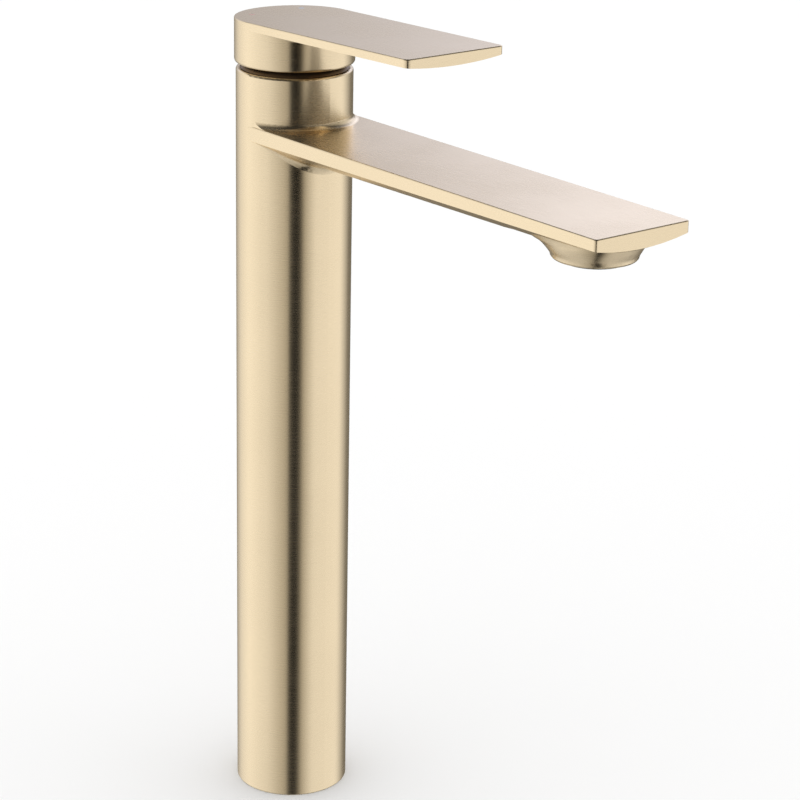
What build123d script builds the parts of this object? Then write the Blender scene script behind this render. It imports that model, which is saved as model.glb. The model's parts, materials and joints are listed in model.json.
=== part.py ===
from build123d import *
from math import acos, asin, atan2, cos, degrees, hypot, radians, sin, sqrt
import os

# Tall single-lever basin mixer with a flat plate spout and a flat plate lever.
#
# Frame: millimetres, +Z up, origin on the column's axis in the deck plane.
# The spout and the lever both point along +X. Hot is on the -Y side, cold on the +Y side.
# The lever is modelled closed and in the middle of its turn.

# ---------------------------------------------------------------- driving dimensions (mm)
COLUMN_R = 22.5           # outer radius of the column
COLUMN_TOP = 299.0        # the column's rim, under the handle
COLUMN_BORE_R = 19.5
RIM_ROUND = 1.0
BASE_ROUND = 0.4

SPOUT_TOP = 278.9         # flat top face of the spout
SPOUT_TIP = 193.9         # front face of the spout
SPOUT_TIP_HALF = 21.4     # half width at the front face
SPOUT_EDGE_ROOT = 5.7     # height of the side face at the column
SPOUT_EDGE_TIP = 4.1      # height of the side face at the front
SPOUT_BELLY = 7.4         # how far the underside bulges below the side faces
SPOUT_BELLY_TIP = 1.4
SPOUT_BELLY_EVEN = 0.72   # share of the length over which the bulge is even
BELLY_DRAW = 0.98         # how fully it is drawn in at the tip
SPOUT_CORNER = 1.2
PLATE_ROUND = 0.45        # softened edges of the spout and the lever
ROOT_FILLET_TOP = 2.4
ROOT_FILLET_UNDER = 5.2
FILLET_MIDDLE = 0.31      # middle of an under fillet's arc; 0.293 would be tangent to both faces
FILLET_BITE = 0.06        # the whole arc is set this much deeper, so that it cuts the faces cleanly
FILLET_ROOT = 0.8         # how far an under fillet runs into the column and the plate
FADE_ANGLE, FADE_STEP = 84, 14         # under fillets fade out at this angle to each side

OUTLET_X = 170.9          # axis of the outlet
OUTLET_RIM_Z = 264.3      # lower rim of the outlet boss
# Outline of the boss, from the rim up: height above the rim, half width, and reach towards the column.
OUTLET_FLARE = [
    (0.0, 14.6, 14.6), (0.6, 15.1, 15.2), (2.9, 16.1, 16.6), (4.7, 17.2, 18.8), (6.0, 17.9, 21.4),
    (7.2, 18.7, 27.0), (8.7, 19.6, 31.0), (9.9, 20.6, 33.5), (10.7, 21.2, 35.0),
]
OUTLET_THREAD_R = 12.0    # M24 x 1 thread for the aerator
OUTLET_LEDGE_Z = 270.6    # the aerator's washer seats here
OUTLET_WELL_R = 10.8
OUTLET_ROOF_Z = 276.3

DUCT_HALF = 11.0          # water duct along the spout
DUCT_LOW, DUCT_HIGH = 270.8, 276.2
DUCT_ROUND = 2.5

CAP_R = 23.1              # outer radius of the handle's round cap
HANDLE_GAP = 2.15         # between the column's rim and the cap
CAP_ROUND = 1.2
CAP_TOP = 318.6           # top face at the axis; it rises towards the lever's tip
CAP_BORE_R = 21.1
CAP_CEILING = 314.5
LEVER_TIP = 95.6
LEVER_TIP_HALF = 22.4
LEVER_RISE = 2.45         # rise of the top face from the axis to the tip
LEVER_EDGE = 3.1          # height of the lever's side face
LEVER_CROWN = 1.5         # how far its underside bulges
LEVER_CORNER = 2.0
LEVER_FILLET = 3.6        # under the lever, where it leaves the cap

PIVOT_Z = 281.0           # height of the lever's pivot
LIFT = 25.0               # lever lift, degrees
TURN = 45.0               # lever turn to each side, degrees
LEAN = LIFT / 2           # the stem leans forward by this when the lever is closed
ARM = 9.9                 # from the pivot to the ball that pushes the disc
DISC_BACK = ARM * sin(radians(LEAN))   # the disc sits this far back when closed

STEM_HALF = 4.0           # 8 mm square stem
STEM_TOP = 313.0          # these stem and boss heights are along the stem's own axis
BALL_R = 2.6
NECK_R = 2.0
PIN_R = 1.5
PIN_HALF = 13.5
BOSS_R = 8.5
BOSS_LOW = 309.5
STEM_FOOT = 5.0           # the square part ends this far below the pivot

SCREW_Z = 311.0           # M5 set screw, from the back of the cap
SCREW_R = 2.5
SCREW_BACK, SCREW_FRONT = -1.9, 2.4
SCREW_KEY = 2.5           # hexagon key, across flats
SCREW_KEY_DEPTH = 2.5
SCREW_ACCESS_R = 3.2
MARK_AT = 11.6            # the marks lie this far back and to each side
MARK_R = 1.2
MARK_DEPTH = 0.6

SEAT_LOW, SEAT_Z = 242.0, 254.0        # the floor that the cartridge stands on
GALLERY_R, GALLERY_TOP = 19.0, 279.0   # water leaves the cartridge into this ring
LAND_R, LAND_TOP = 17.7, 282.0         # sealing land above the gallery
NUT_THREAD_TOP = 292.0
BONNET_BORE_R = 21.0

CARTRIDGE_R = 17.4
BASE_TOP = 260.0
PEG_R, PEG_DEPTH, PEG_X, PEG_Y = 1.4, 1.6, -9.5, 8.0   # pegs that locate the cartridge
POCKET_R, POCKET_Z = 13.6, 260.9
POCKET_RIM = 0.4          # the pocket's rim is this far below the disc joint
BASE_FLOOR = 2.4          # under the base's outlet channel
DISC_JOINT_Z = 265.0      # the lapped faces of the two ceramic discs meet here
DISC_HEIGHT = 3.2
SLOT_LENGTH, SLOT_R = 3.8, 1.9         # inlet slots in the fixed disc
OUTLET_PORT_X, OUTLET_PORT_R = -1.2, 2.6
RECESS_R, RECESS_DEPTH = 4.4, 1.6      # recess under the moving disc
FIXED_DISC_R = 13.5
MOVING_DISC_R = 12.6
CARRIER_TOP = 273.6
CARRIER_HALF = 10.5       # flats that slide in the turret
TURRET_R, TURRET_SKIRT_R = 14.0, 15.6
TURRET_LOW, TURRET_STEP, TURRET_TOP = 268.7, 274.0, 288.0
COLLAR_R, COLLAR_TOP = 11.3, 290.2
STEM_SLOT_HALF = 7.6      # room for the stem to swing in the turret
STOP_HALF = 1.2           # half width of the turret's stop lug
STOP_REACH, STOP_SPACE_R = 12.9, 13.1  # the lug's end, and the space it turns in
STOP_PLAY = 0.6           # degrees between the lug and the stops at the ends of the turn
SHOULDER_Z, HOUSING_TOP = 284.0, 290.6
LIMIT_R, LIMIT_Z = 14.6, 288.3
HOUSING_SEAL_IN, HOUSING_SEAL_Z = 16.2, 280.5
HOUSING_GROOVE_HALF = 0.8
NECK_OUT_R = 15.6
NUT_TOP = 295.2
NUT_HEX_R = 18.6          # to the hexagon's corners

DOME_R = 27.6             # the bonnet is part of a ball about the pivot
DOME_TOP = 305.0
DOME_HOLE_R = 10.8
DOME_WALL = 1.5
BONNET_R = 20.9
BONNET_SEAL_Z = 295.4
GROOVE_DEPTH, GROOVE_HALF = 0.8, 0.7   # seal grooves on the bonnet and the spigots

PORT_X, PORT_Y = 3.0, 7.5              # hot and cold water come up here
PORT_R = 2.8
SEAL_IN, SEAL_OUT = 3.4, 4.8           # rings under the cartridge
RISER_SEAL_Z = 246.8
SPIGOT_R, SPIGOT_LOW, SPIGOT_TOP = 5.4, 243.5, 249.8
RISER_R, RISER_BORE_R = 4.5, 3.4
FOOT_HEIGHT = 12.0
STUD_X, STUD_R = -10.0, 3.4            # M8, tapping size
INLET_R, INLET_DEPTH = 4.5, 11.0       # M10 x 1, tapping size
SOCKET_R, SOCKET_TOP = 6.6, 17.0
RISER_LOW = 12.5
BASE_SEAL_IN, BASE_SEAL_OUT = 20.25, 21.55             # groove under the column's wall
BASE_SEAL_Z = 0.6

AERATOR_R, AERATOR_LOW, AERATOR_TOP = 11.9, 263.1, 268.8
AERATOR_LIP = 0.7         # the housing's lip under the grid
INSERT_R, INSERT_LOW = 10.3, 263.9
GRID_HEIGHT, GRID_ROWS = 1.4, 3
HOLE_R, HOLE_PITCH = 0.95, 2.75
REGULATOR_LOW, REGULATOR_WALL = 265.4, 1.2
JETS, JET_CIRCLE_R = 8, 5.5
WASHER_IN = 8.5

FIT = 0.05                # clearance where pieces locate each other
SLIP = 0.02               # clearance where flat faces rest on each other
CUT = 1.0                 # how far a cutting tool runs past a face
SIDES = (-1, 1)           # hot, cold


# ---------------------------------------------------------------- small helpers
def rod(r, z0, z1, x=0.0, y=0.0):
    """Upright cylinder between two heights."""
    return Pos(x, y, (z0 + z1) / 2) * Cylinder(r, z1 - z0)


def ring(r_out, r_in, z0, z1, x=0.0, y=0.0):
    return rod(r_out, z0, z1, x, y) - rod(r_in, z0 - CUT, z1 + CUT, x, y)


def block(x0, x1, y0, y1, z0, z1):
    return Pos((x0 + x1) / 2, (y0 + y1) / 2, (z0 + z1) / 2) * Box(x1 - x0, y1 - y0, z1 - z0)


def bar_x(r, x0, x1, z):
    """Cylinder along X in the middle plane."""
    return Pos((x0 + x1) / 2, 0, z) * Rot(0, 90, 0) * Cylinder(r, x1 - x0)


def bar_y(r, half, z):
    """Cylinder along Y, centred on the middle plane."""
    return Pos(0, 0, z) * Rot(90, 0, 0) * Cylinder(r, 2 * half)


def o_ring(z, inner, outer, x=0.0, y=0.0):
    return Pos(x, y, z) * Torus((inner + outer) / 2, (outer - inner) / 2)


def leaned(shape):
    """Lean a shape, drawn on the upright axis, forward as the closed stem is."""
    return Pos(0, 0, PIVOT_Z) * Rot(0, LEAN, 0) * Pos(0, 0, -PIVOT_Z) * shape


def slot_y(length, r, z0, z1, x, y):
    """Round-ended slot along Y."""
    shape = rod(r, z0, z1, x, y - length / 2) + rod(r, z0, z1, x, y + length / 2)
    return shape + block(x - r, x + r, y - length / 2, y + length / 2, z0, z1)


# ---------------------------------------------------------------- flat plates
def tangent_point(r, tip, tip_half):
    """Where the straight side from the tip's corner touches the circle of radius r."""
    angle = atan2(tip_half, tip) + acos(r / hypot(tip, tip_half))
    return r * cos(angle), r * sin(angle)


def plate_section(x, half, top, low, belly):
    """Section of a plate across X: upright sides, and an underside that bulges by belly."""
    under = ThreePointArc((x, half, low), (x, 0, low - belly), (x, -half, low))
    left = Line((x, -half, low), (x, -half, top))
    cover = Line((x, -half, top), (x, half, top))
    right = Line((x, half, top), (x, half, low))
    return make_face(Wire([under, left, cover, right]))


def plate_at(outline, share):
    """Distance from the axis and half width of a plate at a share of its length."""
    tip, tip_half = outline[1:]
    root_x, root_half = tangent_point(*outline)
    return root_x + share * (tip - root_x), root_half + share * (tip_half - root_half)


def plate(outline, top, low_at, belly_at, shares, corner):
    """Plate whose sides are tangent to a circle; outline is its radius, the tip and the tip's half width."""
    sections = [plate_section(*plate_at(outline, share), top, low_at(share), belly_at(share))
                for share in shares]
    solid = loft(sections[:2], ruled=True)
    if len(sections) > 2:
        solid += loft(sections[1:])
    upright = [e for e in solid.edges() if (e @ 0.5).X > outline[1] - 0.1 and abs((e % 0.5).Z) > 0.9]
    return fillet(upright, corner)


def underside_at(outline, low_at, belly_at, x, y):
    """Height of a plate's bulged underside."""
    root_x = tangent_point(*outline)[0]
    share = (x - root_x) / (outline[1] - root_x)
    half, belly = plate_at(outline, share)[1], belly_at(share)
    bulge_r = (half ** 2 + belly ** 2) / (2 * belly)
    return low_at(share) - belly + bulge_r - sqrt(bulge_r ** 2 - y ** 2)


def fading_fillet(outline, low_at, belly_at, radius):
    """Concave fillet between a column and the plate above it; it fades out towards the sides."""
    column_r = outline[0]
    sections = []
    for angle in range(-FADE_ANGLE, FADE_ANGLE + 1, FADE_STEP):
        along, across = cos(radians(angle)), sin(radians(angle))
        reach = radius * (1 - abs(across) ** 3)
        outer = column_r + reach
        inner_z = underside_at(outline, low_at, belly_at, column_r * along, column_r * across)
        outer_z = underside_at(outline, low_at, belly_at, outer * along, outer * across)
        low, top = inner_z - reach, max(inner_z, outer_z) + FILLET_ROOT
        middle = (column_r + FILLET_MIDDLE * reach, outer_z - FILLET_MIDDLE * (outer_z - low))
        arc = ThreePointArc((column_r, low), middle, (outer, outer_z))
        rest = Polyline((outer, outer_z), (outer, top), (column_r - FILLET_ROOT, top),
                        (column_r - FILLET_ROOT, low), (column_r, low))
        section = Pos(-FILLET_BITE, FILLET_BITE) * make_face(Wire([arc, *rest.edges()]))
        upright = Plane(origin=(0, 0, 0), x_dir=(along, across, 0), z_dir=(across, -along, 0))
        sections.append(upright * section)
    return loft(sections)


SPOUT_OUTLINE = (COLUMN_R, SPOUT_TIP, SPOUT_TIP_HALF)
LEVER_OUTLINE = (CAP_R, LEVER_TIP, LEVER_TIP_HALF)


def spout_low(share):
    return SPOUT_TOP - SPOUT_EDGE_ROOT + share * (SPOUT_EDGE_ROOT - SPOUT_EDGE_TIP)


def spout_belly(share):
    """Even at first, then drawn in towards the tip like the end of an ellipse."""
    beyond = max(0.0, share - SPOUT_BELLY_EVEN) / (1 - SPOUT_BELLY_EVEN)
    return SPOUT_BELLY_TIP + (SPOUT_BELLY - SPOUT_BELLY_TIP) * sqrt(1 - BELLY_DRAW * beyond ** 2)


def spout_plate():
    steps = [SPOUT_BELLY_EVEN + (1 - SPOUT_BELLY_EVEN) * s for s in (0, 0.3, 0.55, 0.75, 0.9, 1)]
    blank = plate(SPOUT_OUTLINE, SPOUT_TOP + CUT, spout_low, spout_belly, [0] + steps, SPOUT_CORNER)
    return blank - block(-COLUMN_R, SPOUT_TIP + CUT, -30, 30, SPOUT_TOP, SPOUT_TOP + 2 * CUT)


def spout_plan(inset=0.0):
    """Upright prism with the outline that the column and the spout show from above."""
    touch_x, touch_y = tangent_point(COLUMN_R - inset, SPOUT_TIP - inset, SPOUT_TIP_HALF - inset)
    tip, half = SPOUT_TIP - inset, SPOUT_TIP_HALF - inset
    sides = Polyline((touch_x, touch_y), (tip, half), (tip, -half), (touch_x, -touch_y))
    back = ThreePointArc((touch_x, -touch_y), (inset - COLUMN_R, 0), (touch_x, touch_y))
    outline = make_face(Wire([*sides.edges(), back]))
    return Pos(0, 0, SPOUT_TOP - CUT) * extrude(outline, ROOT_FILLET_TOP + 2 * CUT)


def lever_top_cut():
    """Everything above the sloping top face of the handle."""
    slope = degrees(asin(LEVER_RISE / LEVER_TIP))
    return Pos(0, 0, CAP_TOP) * Rot(0, -slope, 0) * block(-40, 120, -40, 40, 0, 20)


def lever_low(share):
    x = plate_at(LEVER_OUTLINE, share)[0]
    return CAP_TOP - LEVER_EDGE + LEVER_RISE * x / LEVER_TIP


def lever_belly(share):
    return LEVER_CROWN


def lever_plate():
    top = CAP_TOP + LEVER_RISE + CUT
    return plate(LEVER_OUTLINE, top, lever_low, lever_belly, (0, 1), LEVER_CORNER)


# ---------------------------------------------------------------- column and spout casting
def outlet_boss():
    """Boss at the outlet: round at the rim, flaring up into the underside of the spout."""
    sections = []
    for height, half, rear in OUTLET_FLARE:
        middle = Pos(OUTLET_X + (half - rear) / 2, 0, OUTLET_RIM_Z + height)
        sections.append(middle * Ellipse((half + rear) / 2, half))
    return loft(sections[:2], ruled=True) + loft(sections[1:])


def body_shell():
    spout = spout_plate()
    rim = [e for e in spout.edges() if abs((e @ 0.5).Z - SPOUT_TOP) < 0.05 and (e @ 0.5).X > 1]
    spout = fillet(rim, PLATE_ROUND)
    fillet_r = COLUMN_R + ROOT_FILLET_TOP
    fillet_z = SPOUT_TOP + ROOT_FILLET_TOP
    over = ring(fillet_r, COLUMN_R - CUT, SPOUT_TOP - CUT, fillet_z)
    over -= Pos(0, 0, fillet_z) * Torus(fillet_r, ROOT_FILLET_TOP)
    under = fading_fillet(SPOUT_OUTLINE, spout_low, spout_belly, ROOT_FILLET_UNDER)
    column = rod(COLUMN_R, 0, COLUMN_TOP)
    top_edge = [e for e in column.edges() if (e @ 0.5).Z > COLUMN_TOP - 0.1]
    column = fillet(top_edge, RIM_ROUND)
    base_edge = [e for e in column.edges() if (e @ 0.5).Z < 0.1]
    column = fillet(base_edge, BASE_ROUND)
    return column + spout + (over & spout_plan(PLATE_ROUND)) + under + outlet_boss()


def body_cavities():
    hollow = rod(COLUMN_BORE_R, -CUT, SEAT_LOW)
    hollow += rod(GALLERY_R, SEAT_Z, GALLERY_TOP) + rod(LAND_R, GALLERY_TOP - CUT, LAND_TOP + CUT)
    hollow += rod(GALLERY_R, LAND_TOP, NUT_THREAD_TOP)
    hollow += rod(BONNET_BORE_R, NUT_THREAD_TOP, COLUMN_TOP + CUT)
    duct = RectangleRounded(2 * DUCT_HALF, DUCT_HIGH - DUCT_LOW, DUCT_ROUND)
    duct = Plane.YZ.offset(GALLERY_R - 2 * CUT) * Pos(0, (DUCT_LOW + DUCT_HIGH) / 2) * duct
    hollow += extrude(duct, OUTLET_X - GALLERY_R + 2 * CUT)
    hollow += rod(OUTLET_THREAD_R, OUTLET_RIM_Z - CUT, OUTLET_LEDGE_Z, OUTLET_X)
    hollow += rod(OUTLET_WELL_R, OUTLET_LEDGE_Z - CUT, OUTLET_ROOF_Z, OUTLET_X)
    for side in SIDES:
        hollow += rod(SPIGOT_R + FIT, SEAT_LOW - CUT, SPIGOT_TOP + SLIP, PORT_X, side * PORT_Y)
        hollow += rod(PORT_R, SPIGOT_TOP, SEAT_Z + CUT, PORT_X, side * PORT_Y)
        hollow += rod(PEG_R + FIT, SEAT_Z - PEG_DEPTH - 0.3, SEAT_Z + CUT, PEG_X, side * PEG_Y)
    return hollow + ring(BASE_SEAL_OUT, BASE_SEAL_IN, -CUT, BASE_SEAL_OUT - BASE_SEAL_IN)


def body():
    return body_shell() - body_cavities()


# ---------------------------------------------------------------- handle
def handle_blank():
    """Cap and lever before the inside is machined."""
    low = COLUMN_TOP + HANDLE_GAP
    cap = rod(CAP_R, low, CAP_TOP + LEVER_RISE)
    under = fading_fillet(LEVER_OUTLINE, lever_low, lever_belly, LEVER_FILLET)
    blank = cap + lever_plate() + under - lever_top_cut()
    slope = LEVER_RISE / LEVER_TIP
    rim = [e for e in blank.edges()
           if (e @ 0.5).Z > CAP_TOP + slope * (e @ 0.5).X - 0.2 and abs((e % 0.5).Z) < 0.5]
    blank = fillet(rim, PLATE_ROUND)
    foot = [e for e in blank.edges() if abs((e @ 0.5).Z - low) < 0.01]
    return fillet(foot, CAP_ROUND)


def mark_pocket(side, gap=0.0):
    r, depth = MARK_R - gap, MARK_DEPTH - gap
    slope = LEVER_RISE / LEVER_TIP
    floor = CAP_TOP - slope * MARK_AT - depth
    return rod(r, floor, floor + 2 * depth, -MARK_AT, side * MARK_AT)


def lever_handle():
    blank = handle_blank()
    boss = leaned(rod(BOSS_R, BOSS_LOW, STEM_TOP + 2 * CUT))
    boss &= rod(CAP_BORE_R, COLUMN_TOP, CAP_CEILING + CUT)
    handle = blank - rod(CAP_BORE_R, COLUMN_TOP, CAP_CEILING) + boss
    grip = STEM_HALF + FIT
    handle -= leaned(block(-grip, grip, -grip, grip, BOSS_LOW - CUT, STEM_TOP + FIT))
    handle -= bar_x(SCREW_R + FIT, -BOSS_R, SCREW_FRONT, SCREW_Z)
    handle -= bar_x(SCREW_ACCESS_R, -CAP_R - CUT, -CAP_BORE_R + CUT, SCREW_Z)
    for side in SIDES:
        handle -= mark_pocket(side)
    return handle


def temperature_mark(side):
    """Enamel inlay, flush with the sloping top face of the cap."""
    return mark_pocket(side, SLIP) - lever_top_cut()


def set_screw():
    """Headless screw with a hexagon socket, pressed against the stem."""
    screw = bar_x(SCREW_R, SCREW_BACK, SCREW_FRONT, SCREW_Z)
    key = Plane.YZ.offset(SCREW_BACK - CUT) * Pos(0, SCREW_Z) * RegularPolygon(SCREW_KEY / sqrt(3), 6)
    stem_space = leaned(block(-STEM_HALF - SLIP, BOSS_R, -BOSS_R, BOSS_R, PIVOT_Z, CAP_TOP))
    return screw - extrude(key, SCREW_KEY_DEPTH + CUT) - stem_space


def screw_cover():
    """Plug over the screw's access hole, its face following the cap."""
    plug = bar_x(SCREW_ACCESS_R - FIT, -CAP_R - CUT, -CAP_BORE_R - SLIP, SCREW_Z)
    plug += bar_x(SCREW_ACCESS_R - 4 * FIT, -CAP_BORE_R - CUT, -CAP_BORE_R + CUT, SCREW_Z)
    return plug & rod(CAP_R - SLIP, COLUMN_TOP, CAP_TOP)


def stem():
    """Square stem, pinned in the turret, with a ball below that pushes the disc carrier."""
    foot_z, ball_z = PIVOT_Z - STEM_FOOT, PIVOT_Z - ARM
    bar = block(-STEM_HALF, STEM_HALF, -STEM_HALF, STEM_HALF, foot_z, STEM_TOP)
    shape = bar + rod(NECK_R, ball_z, foot_z + CUT) + Pos(0, 0, ball_z) * Sphere(BALL_R)
    return leaned(shape - bar_y(PIN_R + FIT, PIN_HALF, PIVOT_Z))


# ---------------------------------------------------------------- cartridge
def turret():
    """Turns with the lever, holds its pin, and guides the disc carrier along X."""
    shape = rod(TURRET_R, TURRET_STEP, TURRET_TOP)
    shape += rod(TURRET_SKIRT_R, TURRET_LOW, TURRET_STEP)
    shape += rod(COLLAR_R, TURRET_TOP, COLLAR_TOP)
    shape += block(-STOP_REACH, -COLLAR_R + CUT, -STOP_HALF, STOP_HALF, TURRET_TOP, COLLAR_TOP)
    flat = CARRIER_HALF + FIT
    reach = TURRET_SKIRT_R + CUT
    shape -= block(-reach, reach, -flat, flat, DISC_JOINT_Z, TURRET_STEP)
    slot = STEM_HALF + 2 * FIT
    shape -= block(-STEM_SLOT_HALF, STEM_SLOT_HALF, -slot, slot, TURRET_STEP - CUT, COLLAR_TOP + CUT)
    return shape - bar_y(PIN_R, reach, PIVOT_Z)


def pivot_pin():
    pin = bar_y(PIN_R - SLIP, PIN_HALF, PIVOT_Z)
    return chamfer(pin.edges().filter_by(GeomType.CIRCLE), 0.3)


def disc_carrier():
    """Plastic shoe on the moving disc; the stem's ball sits in its bore."""
    low = DISC_JOINT_Z + DISC_HEIGHT + SLIP
    shoe = rod(MOVING_DISC_R, low, CARRIER_TOP, -DISC_BACK)
    reach = MOVING_DISC_R + DISC_BACK
    shoe &= block(-reach, reach, -CARRIER_HALF, CARRIER_HALF, low, CARRIER_TOP)
    return shoe - rod(BALL_R + FIT, low - CUT, CARRIER_TOP + CUT, -DISC_BACK)


def moving_disc():
    """Ceramic disc; the recess underneath joins the ports as it slides forward."""
    low = DISC_JOINT_Z + SLIP
    disc = rod(MOVING_DISC_R, low, DISC_JOINT_Z + DISC_HEIGHT, -DISC_BACK)
    return disc - rod(RECESS_R, low - CUT, low + RECESS_DEPTH)


def water_ports(z0, z1):
    """Hot and cold slots and the round outlet, as they pass through the fixed disc."""
    ports = rod(OUTLET_PORT_R, z0, z1, OUTLET_PORT_X)
    for side in SIDES:
        ports += slot_y(SLOT_LENGTH, SLOT_R, z0, z1, PORT_X, side * PORT_Y)
    return ports


def fixed_disc():
    top = DISC_JOINT_Z
    return rod(FIXED_DISC_R, top - DISC_HEIGHT, top) - water_ports(top - DISC_HEIGHT - CUT, top + CUT)


def disc_gasket():
    low, high = POCKET_Z + SLIP, DISC_JOINT_Z - DISC_HEIGHT - SLIP
    return rod(FIXED_DISC_R, low, high) - water_ports(low - CUT, high + CUT)


def cartridge_base():
    """Plastic base: pocket for the fixed disc, inlet ports, and an outlet to the side."""
    low = SEAT_Z + SLIP
    rim = DISC_JOINT_Z - POCKET_RIM
    channel = low + BASE_FLOOR
    base = rod(CARTRIDGE_R, low, BASE_TOP) + rod(TURRET_SKIRT_R + FIT, low, rim)
    base -= rod(POCKET_R, POCKET_Z, rim + CUT)
    base -= rod(OUTLET_PORT_R, channel, POCKET_Z + CUT, OUTLET_PORT_X)
    base -= block(-CARTRIDGE_R - CUT, OUTLET_PORT_X, -OUTLET_PORT_R, OUTLET_PORT_R, channel, BASE_TOP - CUT)
    for side in SIDES:
        y = side * PORT_Y
        base -= rod(PORT_R, low - CUT, POCKET_Z + CUT, PORT_X, y)
        base -= ring(SEAL_OUT + FIT, SEAL_IN - FIT, low - CUT, low + SEAL_OUT - SEAL_IN, PORT_X, y)
        base += rod(PEG_R, SEAT_Z - PEG_DEPTH, low + CUT, PEG_X, side * PEG_Y)
    return base


def inlet_seals():
    middle = SEAT_Z + SLIP + (SEAL_OUT - SEAL_IN) / 2
    return Compound([o_ring(middle, SEAL_IN, SEAL_OUT, PORT_X, side * PORT_Y) for side in SIDES])


def cartridge_housing():
    """Plastic case over the discs and the turret, with a groove for its seal."""
    case = rod(CARTRIDGE_R, BASE_TOP + SLIP, SHOULDER_Z) + rod(NECK_OUT_R, SHOULDER_Z, HOUSING_TOP)
    case -= rod(TURRET_SKIRT_R + 2 * FIT, BASE_TOP, TURRET_STEP + FIT)
    case -= rod(TURRET_R + 2 * FIT, TURRET_STEP, HOUSING_TOP + CUT)
    case -= rod(LIMIT_R + FIT, LIMIT_Z, HOUSING_TOP + CUT)
    low, high = HOUSING_SEAL_Z - HOUSING_GROOVE_HALF, HOUSING_SEAL_Z + HOUSING_GROOVE_HALF
    return case - ring(CARTRIDGE_R + CUT, HOUSING_SEAL_IN, low, high)


def temperature_limit_ring():
    """Ring round the turret's collar; the ends of its open sector stop the turn."""
    limit = ring(LIMIT_R, COLLAR_R + 4 * FIT, LIMIT_Z + SLIP, COLLAR_TOP)
    free = TURN + degrees(asin(STOP_HALF / COLLAR_R)) + STOP_PLAY
    far = 2 * LIMIT_R
    corners = [(-far * cos(radians(a)), far * sin(radians(a))) for a in (free, 0, -free)]
    sector = make_face(Polyline((0, 0), *corners, close=True))
    sector = Pos(0, 0, LIMIT_Z) * extrude(sector, COLLAR_TOP - LIMIT_Z + CUT)
    return limit - (sector & rod(STOP_SPACE_R, LIMIT_Z, COLLAR_TOP + CUT))


def retaining_nut():
    """Threaded nut with a hexagon on top; it clamps the cartridge by its shoulder."""
    low = SHOULDER_Z + SLIP
    nut = rod(GALLERY_R - FIT, low, NUT_THREAD_TOP - 4 * FIT)
    hexagon = extrude(RegularPolygon(NUT_HEX_R, 6), NUT_TOP - NUT_THREAD_TOP + CUT)
    nut += Pos(0, 0, NUT_THREAD_TOP - CUT) * hexagon
    return nut - rod(NECK_OUT_R + 2 * FIT, low - CUT, NUT_TOP + CUT)


def bonnet():
    """Domed collar, pushed into the column's rim on a seal; it hides the cartridge."""
    dome = Pos(0, 0, PIVOT_Z) * (Sphere(DOME_R) - Sphere(DOME_R - DOME_WALL))
    dome &= rod(BONNET_R, COLUMN_TOP - CUT, DOME_TOP)
    low = NUT_THREAD_TOP + SLIP
    skirt = ring(BONNET_R, BONNET_R - DOME_WALL, low, COLUMN_TOP)
    skirt -= ring(BONNET_R + CUT, BONNET_R - GROOVE_DEPTH,
                  BONNET_SEAL_Z - GROOVE_HALF, BONNET_SEAL_Z + GROOVE_HALF)
    return (dome - rod(DOME_HOLE_R, COLUMN_TOP, DOME_TOP + CUT)) + skirt


# ---------------------------------------------------------------- water supply and foot
def riser(side):
    """Tube from the inlet socket up to a spigot under the cartridge's seat."""
    y = side * PORT_Y
    tube = rod(RISER_R, RISER_LOW, SPIGOT_LOW + CUT, PORT_X, y)
    tube += rod(SPIGOT_R, SPIGOT_LOW, SPIGOT_TOP, PORT_X, y)
    tube -= rod(RISER_BORE_R, RISER_LOW - CUT, SPIGOT_LOW, PORT_X, y)
    tube -= rod(PORT_R, SPIGOT_LOW - CUT, SPIGOT_TOP + CUT, PORT_X, y)
    return tube - ring(SPIGOT_R + CUT, SPIGOT_R - GROOVE_DEPTH,
                       RISER_SEAL_Z - GROOVE_HALF, RISER_SEAL_Z + GROOVE_HALF, PORT_X, y)


def riser_o_rings():
    inner, outer = SPIGOT_R - GROOVE_DEPTH + SLIP, SPIGOT_R + FIT - SLIP
    return Compound([o_ring(RISER_SEAL_Z, inner, outer, PORT_X, side * PORT_Y) for side in SIDES])


def inlet_socket(side):
    """Brass sleeve: hose thread below, riser above."""
    y = side * PORT_Y
    sleeve = rod(SOCKET_R, 0, SOCKET_TOP, PORT_X, y)
    sleeve -= rod(INLET_R, -CUT, INLET_DEPTH, PORT_X, y)
    sleeve -= rod(RISER_BORE_R, INLET_DEPTH - CUT, RISER_LOW + CUT, PORT_X, y)
    return sleeve - rod(RISER_R + FIT, RISER_LOW - SLIP, SOCKET_TOP + CUT, PORT_X, y)


def mounting_foot():
    """Plug in the column's base, with the thread for the deck stud."""
    foot = rod(COLUMN_BORE_R - FIT, 0, FOOT_HEIGHT) - rod(STUD_R, -CUT, FOOT_HEIGHT + CUT, STUD_X)
    for side in SIDES:
        foot -= rod(SOCKET_R + FIT, -CUT, FOOT_HEIGHT + CUT, PORT_X, side * PORT_Y)
    return foot


# ---------------------------------------------------------------- aerator
def aerator_housing():
    """Threaded ring that holds the aerator's insert in the outlet."""
    shape = rod(AERATOR_R, AERATOR_LOW, AERATOR_TOP, OUTLET_X)
    shape = chamfer(shape.edges().filter_by(GeomType.CIRCLE).sort_by(Axis.Z)[0], 0.5)
    shape -= rod(INSERT_R + FIT, INSERT_LOW, AERATOR_TOP + CUT, OUTLET_X)
    return shape - rod(INSERT_R - AERATOR_LIP, AERATOR_LOW - CUT, INSERT_LOW + CUT, OUTLET_X)


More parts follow.
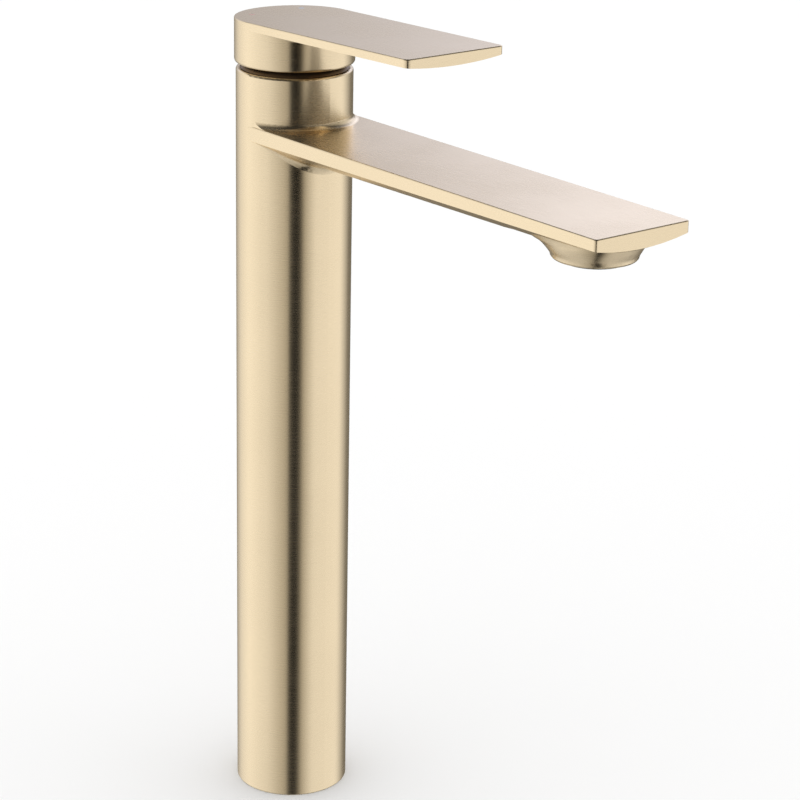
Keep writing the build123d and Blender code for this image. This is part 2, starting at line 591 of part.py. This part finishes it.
def aerator_screen():
    """Outlet grid: a disc with rings of holes."""
    low = INSERT_LOW + SLIP
    high = low + GRID_HEIGHT
    grid = rod(INSERT_R, low, high, OUTLET_X) - rod(HOLE_R, low - CUT, high + CUT, OUTLET_X)
    for row in range(1, GRID_ROWS + 1):
        for i in range(6 * row):
            angle = radians(60 * i / row)
            x, y = OUTLET_X + row * HOLE_PITCH * cos(angle), row * HOLE_PITCH * sin(angle)
            grid -= rod(HOLE_R, low - CUT, high + CUT, x, y)
    return grid


def aerator_regulator():
    """Cup with jets in its top that mixes air into the water."""
    low, high = REGULATOR_LOW, AERATOR_TOP - 4 * FIT
    floor = high - REGULATOR_WALL
    cup = rod(INSERT_R, low, high, OUTLET_X)
    cup -= rod(INSERT_R - REGULATOR_WALL, low - CUT, floor, OUTLET_X)
    for i in range(JETS):
        angle = radians(360 * i / JETS)
        x, y = OUTLET_X + JET_CIRCLE_R * cos(angle), JET_CIRCLE_R * sin(angle)
        cup -= rod(HOLE_R, floor - CUT, high + CUT, x, y)
    return cup


def aerator_washer():
    return ring(AERATOR_R - 2 * FIT, WASHER_IN, AERATOR_TOP + SLIP, OUTLET_LEDGE_Z - SLIP, OUTLET_X)


# ---------------------------------------------------------------- all the pieces
def pieces():
    return {
        "body": body(),
        "lever_handle": lever_handle(),
        "hot_mark": temperature_mark(-1),
        "cold_mark": temperature_mark(1),
        "set_screw": set_screw(),
        "screw_cover": screw_cover(),
        "stem": stem(),
        "pivot_pin": pivot_pin(),
        "turret": turret(),
        "disc_carrier": disc_carrier(),
        "moving_disc": moving_disc(),
        "fixed_disc": fixed_disc(),
        "disc_gasket": disc_gasket(),
        "cartridge_base": cartridge_base(),
        "inlet_seals": inlet_seals(),
        "cartridge_housing": cartridge_housing(),
        "housing_o_ring": o_ring(HOUSING_SEAL_Z, HOUSING_SEAL_IN + SLIP, LAND_R - SLIP),
        "temperature_limit_ring": temperature_limit_ring(),
        "retaining_nut": retaining_nut(),
        "bonnet": bonnet(),
        "bonnet_o_ring": o_ring(BONNET_SEAL_Z, BONNET_R - GROOVE_DEPTH + SLIP, BONNET_BORE_R - SLIP),
        "hot_riser": riser(-1),
        "cold_riser": riser(1),
        "riser_o_rings": riser_o_rings(),
        "hot_inlet_socket": inlet_socket(-1),
        "cold_inlet_socket": inlet_socket(1),
        "mounting_foot": mounting_foot(),
        "base_o_ring": o_ring(BASE_SEAL_Z, BASE_SEAL_IN + FIT, BASE_SEAL_OUT - FIT),
        "aerator_housing": aerator_housing(),
        "aerator_screen": aerator_screen(),
        "aerator_regulator": aerator_regulator(),
        "aerator_washer": aerator_washer(),
    }


if __name__ == "__main__":
    os.makedirs("parts", exist_ok=True)
    for node, shape in pieces().items():
        export_step(shape, f"parts/{node}.step")
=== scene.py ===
import json
import math

import bpy
from mathutils import Matrix, Vector

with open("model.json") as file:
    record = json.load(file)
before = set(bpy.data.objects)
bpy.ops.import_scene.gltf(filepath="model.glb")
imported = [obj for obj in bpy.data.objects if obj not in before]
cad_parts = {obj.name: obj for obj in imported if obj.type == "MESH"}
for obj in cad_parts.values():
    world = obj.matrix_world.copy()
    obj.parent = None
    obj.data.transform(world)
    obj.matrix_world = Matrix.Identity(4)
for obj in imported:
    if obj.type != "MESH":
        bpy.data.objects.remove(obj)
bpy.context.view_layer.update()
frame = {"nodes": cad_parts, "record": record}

# ---------------------------------------------------------------- camera and studio (metres, degrees)
CAMERA_AT = Vector((0.79414, -0.58724, 0.51268))
CAMERA_TARGET = Vector((0.06772, 0.0, 0.19409))
CAMERA_ROLL = 1.061
CAMERA_LENS = 118.27
CAMERA_SHIFT = (-0.00075, -0.0338)

# Brightness of the studio by the angle round the object from the camera's side (positive to its right).
# Below eye level two long softboxes stand left and right, with a narrow dark gap between them.
LOW_LIGHT = [
    (-180, 0.15), (-160, 0.30), (-130, 0.90), (-100, 1.15), (-50, 0.95),
    (-20, 0.60), (-9, 0.50), (-5, 0.0), (11, 0.0), (16, 0.10),
    (22, 0.50), (45, 1.0), (110, 1.05), (145, 0.20), (180, 0.15),
]
# Above it the gap is wider, and behind the object stands a pale cool wall that brightens to the right.
HIGH_LIGHT = [
    (-180, 0.90), (-175, 0.55), (-160, 0.55), (-140, 0.95), (-100, 0.95),
    (-60, 0.45), (-10, 0.0), (25, 0.0), (50, 0.10), (90, 0.30),
    (135, 0.85), (165, 1.40), (171, 1.50), (180, 0.90),
]
BLEND = (-2.0, 8.0)                     # elevations over which the first gives way to the second
WALL_TINT = (1.0, 1.035, 1.26)
WALL_BEHIND = (110.0, 160.0)            # angles round the object between which the wall takes over
WALL_DIM = 0.76                         # how dim the wall is at its foot
WALL_RISE = (8.0, 11.5)                 # elevations between which it reaches full brightness
CEILING = (24.0, 42.0)                  # elevations between which the light fades to the dark ceiling
GROUND = (-22.0, -55.0)                 # and, more slowly, to the dimmer ground
CEILING_LEVEL, GROUND_LEVEL = 0.10, 0.62
ROOM_LIGHT = 1.12                       # even white light for everything that isn't a mirror
WARM_GREEN, WARM_BLUE = 0.08, 0.25      # how much green and blue the dimmest light loses
FLOOR_HALF = 6.0
FLOOR_DROP = 0.0002                     # keeps the floor just clear of the object's foot
FLOOR_WHITE = 0.9


# ---------------------------------------------------------------- node helpers
class Nodes:
    """Short calls for building one node tree."""

    def __init__(self, tree):
        self.tree = tree
        self.new = tree.nodes.new
        self.link = tree.links.new

    def put(self, socket, value):
        if isinstance(value, bpy.types.NodeSocket):
            self.link(value, socket)
        else:
            socket.default_value = value

    def math(self, operation, a, b=0.0, c=0.0, clamp=False):
        node = self.new("ShaderNodeMath")
        node.operation = operation
        node.use_clamp = clamp
        for socket, value in zip(node.inputs, (a, b, c)):
            self.put(socket, value)
        return node.outputs[0]

    def vector(self, operation, a, b=(0, 0, 0)):
        node = self.new("ShaderNodeVectorMath")
        node.operation = operation
        self.put(node.inputs[0], a)
        self.put(node.inputs[1], b)
        return node.outputs["Value" if operation == "DOT_PRODUCT" else "Vector"]

    def split(self, vector):
        node = self.new("ShaderNodeSeparateXYZ")
        self.put(node.inputs[0], vector)
        return node.outputs

    def join(self, x, y, z):
        node = self.new("ShaderNodeCombineXYZ")
        for socket, value in zip(node.inputs, (x, y, z)):
            self.put(socket, value)
        return node.outputs[0]

    def noise(self, vector, scale, detail=2.0, roughness=0.5):
        node = self.new("ShaderNodeTexNoise")
        self.put(node.inputs["Vector"], vector)
        node.inputs["Scale"].default_value = scale
        node.inputs["Detail"].default_value = detail
        node.inputs["Roughness"].default_value = roughness
        return node.outputs["Fac"]

    def spread(self, value, low, high, smooth=False, source=(0.0, 1.0)):
        """Map a value from the source range onto low..high."""
        node = self.new("ShaderNodeMapRange")
        node.interpolation_type = "SMOOTHSTEP" if smooth else "LINEAR"
        for name, number in zip(("From Min", "From Max", "To Min", "To Max"), (*source, low, high)):
            node.inputs[name].default_value = number
        self.put(node.inputs["Value"], value)
        return node.outputs["Result"]

    def mix(self, share, a, b, kind="RGBA"):
        """Blend two colours, two numbers ("FLOAT") or two vectors ("VECTOR")."""
        node = self.new("ShaderNodeMix")
        node.data_type = kind
        wanted = {"RGBA": "RGBA", "FLOAT": "VALUE", "VECTOR": "VECTOR"}[kind]
        first, second = [s for s in node.inputs if s.type == wanted][-2:]
        self.put(node.inputs[0], share)
        self.put(first, a)
        self.put(second, b)
        return next(s for s in node.outputs if s.type == wanted)


def material(name):
    """A new node material, its helper and its Principled shader."""
    made = bpy.data.materials.new(name)
    made.use_nodes = True
    tree = made.node_tree
    return made, Nodes(tree), tree.nodes["Principled BSDF"]


def bump(nodes, shader, height, strength, distance):
    node = nodes.new("ShaderNodeBump")
    node.inputs["Strength"].default_value = strength
    node.inputs["Distance"].default_value = distance
    nodes.put(node.inputs["Height"], height)
    nodes.put(shader.inputs["Normal"], node.outputs["Normal"])


def edge_wear_and_highlight(nodes, radius):
    """1 on sharp outer edges, 0 on faces."""
    bevel = nodes.new("ShaderNodeBevel")
    bevel.samples = 4
    bevel.inputs["Radius"].default_value = radius
    geometry = nodes.new("ShaderNodeNewGeometry")
    along = nodes.vector("DOT_PRODUCT", bevel.outputs["Normal"], geometry.outputs["Normal"])
    return nodes.spread(along, 1.0, 0.0, smooth=True, source=(0.80, 0.995))


# ---------------------------------------------------------------- materials
STRETCH = 0.04                          # how much slower the grain varies along its run than across it
FINE_GRAIN, COARSE_GRAIN = 9000.0, 2600.0
METAL_CLOUD = 22.0                      # slow changes of tone over the whole object
FLAT_BLEND = (0.55, 0.85)               # upward share of the normal between which a face counts as flat
# width of the sharp edges that get the painted highlight in their colour and the smoother wear in their
# roughness
EDGE_WEAR_AND_HIGHLIGHT_RADIUS = 0.0006
ANISOTROPY = 0.7
MIDDLE, UPPER = (0.3, 0.7), (0.35, 0.7)    # the parts of a noise's range that are spread out
TOOL_MARKS, TARNISH = 900.0, 90.0
MOULD_CLOUD, MOULD_SPECK = 120.0, 2500.0
GRAIN_DEPTH, SPECK_DEPTH = 0.00002, 0.00003


def brushed_metal(name, color, roughness):
    """Brushed metal: level grain on upright faces, lengthwise grain on flat ones, smoother worn edges with a
    painted highlight in their lighter colour.
    """
    made, nodes, shader = material(name)
    texture = nodes.new("ShaderNodeTexCoord")
    place = texture.outputs["Object"]
    x, y, z = nodes.split(place)
    slow_x, slow_y = nodes.math("MULTIPLY", x, STRETCH), nodes.math("MULTIPLY", y, STRETCH)
    level, lengthwise = nodes.join(slow_x, slow_y, z), nodes.join(slow_x, y, 0.0)
    flat = nodes.math("ABSOLUTE", nodes.split(texture.outputs["Normal"])[2])
    flat = nodes.spread(flat, 0.0, 1.0, smooth=True, source=FLAT_BLEND)
    fine = nodes.mix(flat, nodes.noise(level, FINE_GRAIN), nodes.noise(lengthwise, FINE_GRAIN), "FLOAT")
    coarse = nodes.mix(
        flat, nodes.noise(level, COARSE_GRAIN, 3.0), nodes.noise(lengthwise, COARSE_GRAIN, 3.0), "FLOAT")
    cloud = nodes.noise(place, METAL_CLOUD, 3.0, 0.5)
    grain = nodes.mix(0.3, fine, coarse, "FLOAT")
    # Mask of sharp edges: it lightens their colour as a painted highlight and lowers their roughness as wear.
    wear_and_highlight = edge_wear_and_highlight(nodes, EDGE_WEAR_AND_HIGHLIGHT_RADIUS)
    dark = [c * 0.95 for c in color]
    light = [min(1.0, c * 1.04) for c in color]
    tone = nodes.mix(nodes.spread(grain, 0.0, 1.0, source=MIDDLE), (*dark, 1), (*light, 1))
    tone = nodes.mix(nodes.spread(cloud, 0.0, 0.2, source=UPPER), tone, (*dark, 1))
    # Painted highlight: the sharp edges' colour is made lighter.
    tone = nodes.mix(nodes.math("MULTIPLY", wear_and_highlight, 0.35), tone, (*light, 1))
    nodes.put(shader.inputs["Base Color"], tone)
    shader.inputs["Metallic"].default_value = 1.0
    rough = nodes.spread(coarse, roughness - 0.02, roughness + 0.02, source=MIDDLE)
    rough = nodes.math("ADD", rough, nodes.spread(cloud, -0.02, 0.02, source=UPPER))
    nodes.put(shader.inputs["Roughness"], nodes.math("SUBTRACT", rough, nodes.math("MULTIPLY", wear_and_highlight, 0.05)))
    shader.inputs["Anisotropic"].default_value = ANISOTROPY
    across = nodes.mix(flat, (0.0, 0.0, 1.0), (0.0, 1.0, 0.0), "VECTOR")
    to_world = nodes.new("ShaderNodeVectorTransform")
    to_world.vector_type = "VECTOR"
    to_world.convert_from, to_world.convert_to = "OBJECT", "WORLD"
    nodes.put(to_world.inputs[0], across)
    nodes.put(shader.inputs["Tangent"], to_world.outputs[0])
    bump(nodes, shader, grain, 0.10, GRAIN_DEPTH)
    return made


def machined_metal(name, color, roughness):
    """Turned or plain metal inside: fine tool marks round the axis and slight tarnish."""
    made, nodes, shader = material(name)
    place = nodes.new("ShaderNodeTexCoord").outputs["Object"]
    x, y, z = nodes.split(place)
    slow_x, slow_y = nodes.math("MULTIPLY", x, 0.3), nodes.math("MULTIPLY", y, 0.3)
    marks = nodes.noise(nodes.join(slow_x, slow_y, z), TOOL_MARKS)
    tarnish = nodes.noise(place, TARNISH, 4.0, 0.6)
    dull = [c * 0.72 for c in color]
    nodes.put(shader.inputs["Base Color"],
              nodes.mix(nodes.spread(tarnish, 0.0, 0.6, source=(0.4, 0.75)), (*color, 1), (*dull, 1)))
    shader.inputs["Metallic"].default_value = 1.0
    rough = nodes.spread(tarnish, roughness - 0.05, roughness + 0.12, source=MIDDLE)
    nodes.put(shader.inputs["Roughness"], rough)
    bump(nodes, shader, marks, 0.15, SPECK_DEPTH)
    return made


def moulded(name, color, roughness, strength=0.2, coat=0.0):
    """Plastic, rubber, ceramic or enamel: fine surface grain and a slight change of tone."""
    made, nodes, shader = material(name)
    place = nodes.new("ShaderNodeTexCoord").outputs["Object"]
    cloud = nodes.noise(place, MOULD_CLOUD, 3.0, 0.55)
    speck = nodes.noise(place, MOULD_SPECK, 2.0, 0.5)
    darker = [c * 0.82 for c in color]
    nodes.put(shader.inputs["Base Color"],
              nodes.mix(nodes.spread(cloud, 0.0, 0.7, source=UPPER), (*color, 1), (*darker, 1)))
    rough = nodes.spread(speck, roughness - 0.06, roughness + 0.08, source=MIDDLE)
    nodes.put(shader.inputs["Roughness"], rough)
    shader.inputs["Coat Weight"].default_value = coat
    bump(nodes, shader, speck, strength, SPECK_DEPTH)
    return made


CHAMPAGNE = (0.86, 0.71, 0.485)
FINISH = {
    "champagne_metal": lambda: brushed_metal("brushed_champagne", CHAMPAGNE, 0.27),
    # The neck's dark brown colour is painted shade: the gold neck sits in the dark gap under the handle.
    "neck_metal": lambda: machined_metal("neck_shadowed", (0.20, 0.14, 0.09), 0.38),
    "hot_enamel": lambda: moulded("hot_enamel", (0.58, 0.30, 0.22), 0.30, coat=0.4),
    "cold_enamel": lambda: moulded("cold_enamel", (0.42, 0.46, 0.52), 0.30, coat=0.4),
    "steel": lambda: machined_metal("plain_steel", (0.60, 0.60, 0.61), 0.30),
    "white_plastic": lambda: moulded("white_acetal", (0.80, 0.80, 0.77), 0.40),
    "grey_plastic": lambda: moulded("grey_acetal", (0.32, 0.33, 0.35), 0.42),
    "red_plastic": lambda: moulded("red_acetal", (0.55, 0.05, 0.03), 0.40),
    "dark_plastic": lambda: moulded("dark_aerator", (0.030, 0.031, 0.034), 0.36),
    "disc_ceramic": lambda: moulded("lapped_ceramic", (0.83, 0.82, 0.79), 0.18, coat=0.3),
    "seal_rubber": lambda: moulded("black_rubber", (0.020, 0.020, 0.021), 0.62, strength=0.4),
    "raw_brass": lambda: machined_metal("machined_brass", (0.72, 0.52, 0.24), 0.28),
    "riser_copper": lambda: machined_metal("drawn_copper", (0.74, 0.42, 0.29), 0.30),
}


def dress_nodes():
    """Give every CAD node the finish of its material slot."""
    made = {slot: build() for slot, build in FINISH.items()}
    for row in frame["record"]["subparts"]:
        node = frame["nodes"][row["node"]]
        node.data.materials.clear()
        node.data.materials.append(made[row["material_slot"]])


# ---------------------------------------------------------------- studio
def light_round(nodes, stops, turn):
    """Colour ramp of brightness round the object; dimmer light is warmer."""
    ramp = nodes.new("ShaderNodeValToRGB")
    elements = ramp.color_ramp.elements
    elements.remove(elements[1])
    elements[0].position = 0.0
    for degrees, _ in stops[1:]:
        elements.new((degrees + 180.0) / 360.0)
    for element, (degrees, level) in zip(elements, stops):
        warm = 1.0 - min(1.0, level)
        element.color = (level, level * (1 - WARM_GREEN * warm), level * (1 - WARM_BLUE * warm), 1)
    nodes.put(ramp.inputs[0], turn)
    return ramp.outputs[0]


def studio_world():
    """White room; mirrors see softboxes, a dark gap, a wall, a dark ceiling and a dim ground."""
    world = bpy.data.worlds.new("studio")
    bpy.context.scene.world = world
    world.use_nodes = True
    tree = world.node_tree
    tree.nodes.clear()
    nodes = Nodes(tree)
    ray = nodes.new("ShaderNodeTexCoord").outputs["Generated"]
    toward = Vector((CAMERA_AT.x - CAMERA_TARGET.x, CAMERA_AT.y - CAMERA_TARGET.y, 0.0)).normalized()
    right = Vector((-toward.y, toward.x, 0.0))
    sideways, nearer = nodes.vector("DOT_PRODUCT", ray, right), nodes.vector("DOT_PRODUCT", ray, toward)
    angle = nodes.math("ARCTAN2", sideways, nearer)
    turn = nodes.math("MULTIPLY_ADD", angle, 1.0 / (2 * math.pi), 0.5)
    height = nodes.math("MULTIPLY", nodes.math("ARCSINE", nodes.split(ray)[2]), 180 / math.pi)
    wall = nodes.spread(height, WALL_DIM, 1.0, smooth=True, source=WALL_RISE)
    behind = nodes.math("MULTIPLY", nodes.math("ABSOLUTE", angle), 180 / math.pi)
    behind = nodes.spread(behind, 0.0, 1.0, smooth=True, source=WALL_BEHIND)
    wall_light = nodes.vector("SCALE", WALL_TINT)
    nodes.put(wall_light.node.inputs["Scale"], wall)
    upper = light_round(nodes, HIGH_LIGHT, turn)
    upper = nodes.mix(behind, upper, nodes.vector("MULTIPLY", upper, wall_light))
    seen = nodes.mix(nodes.spread(height, 0.0, 1.0, smooth=True, source=BLEND),
                     light_round(nodes, LOW_LIGHT, turn), upper)
    fade = nodes.spread(height, 1.0, CEILING_LEVEL, smooth=True, source=CEILING)
    fade = nodes.math("MINIMUM", fade, nodes.spread(height, 1.0, GROUND_LEVEL, smooth=True, source=GROUND))
    mirror = nodes.new("ShaderNodeBackground")
    nodes.put(mirror.inputs["Color"], seen)
    nodes.put(mirror.inputs["Strength"], fade)
    plain = nodes.new("ShaderNodeBackground")
    plain.inputs["Color"].default_value = (1, 1, 1, 1)
    plain.inputs["Strength"].default_value = ROOM_LIGHT
    paths = nodes.new("ShaderNodeLightPath")
    mixed = nodes.new("ShaderNodeMixShader")
    nodes.put(mixed.inputs[0], paths.outputs["Is Glossy Ray"])
    nodes.link(plain.outputs[0], mixed.inputs[1])
    nodes.link(mirror.outputs[0], mixed.inputs[2])
    output = nodes.new("ShaderNodeOutputWorld")
    nodes.link(mixed.outputs[0], output.inputs["Surface"])


def studio_floor():
    """Plain pale floor; it isn't seen in the metal, which shows the softboxes down to its foot."""
    mesh = bpy.data.meshes.new("floor")
    corners = [(FLOOR_HALF * x, FLOOR_HALF * y, 0) for x, y in ((-1, -1), (1, -1), (1, 1), (-1, 1))]
    mesh.from_pydata(corners, [], [(0, 1, 2, 3)])
    floor = bpy.data.objects.new("floor", mesh)
    floor.location.z = -FLOOR_DROP
    bpy.context.scene.collection.objects.link(floor)
    made, nodes, shader = material("floor_white")
    shader.inputs["Base Color"].default_value = (FLOOR_WHITE, FLOOR_WHITE, FLOOR_WHITE, 1)
    shader.inputs["Roughness"].default_value = 0.9
    shader.inputs["Specular IOR Level"].default_value = 0.0
    mesh.materials.append(made)
    floor.visible_glossy = False


def studio_camera():
    data = bpy.data.cameras.new("camera")
    data.lens = CAMERA_LENS
    data.sensor_width = 36.0
    data.shift_x, data.shift_y = CAMERA_SHIFT
    data.clip_start, data.clip_end = 0.01, 20.0
    camera = bpy.data.objects.new("camera", data)
    bpy.context.scene.collection.objects.link(camera)
    aim = (CAMERA_TARGET - CAMERA_AT).to_track_quat("-Z", "Y").to_matrix().to_4x4()
    roll = Matrix.Rotation(math.radians(CAMERA_ROLL), 4, "Z")
    camera.matrix_world = Matrix.Translation(CAMERA_AT) @ aim @ roll
    bpy.context.scene.camera = camera


dress_nodes()
studio_world()
studio_floor()
studio_camera()
bpy.context.scene.view_settings.view_transform = "Standard"
